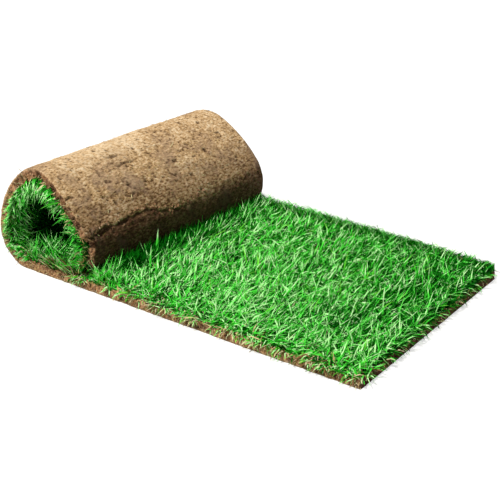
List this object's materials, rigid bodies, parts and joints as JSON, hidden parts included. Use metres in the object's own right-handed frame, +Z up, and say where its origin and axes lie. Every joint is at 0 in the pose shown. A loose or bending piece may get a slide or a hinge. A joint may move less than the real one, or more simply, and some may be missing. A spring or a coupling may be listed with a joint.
{
  "type": "roll of turf",
  "caption": "Strip of lawn turf lying partly unrolled: root-bound soil under standing grass, one end curled over, soil side out, into a single slumped turn around a hollow.",
  "frame": {"origin": "bottom centre of the whole part, on the surface that it lies on", "axes": "+X along the strip from the curl to its free end, +Y along the axis of the curl, +Z up out of the grass of the flat run"},
  "size_m": [0.639, 0.4, 0.1664],
  "materials": {
    "soil": "matte",
    "grass": "matte"
  },
  "bodies": {
    "root": {"soil_mat": "soil", "grass_sward": "grass"}
  },
  "joints": []
}
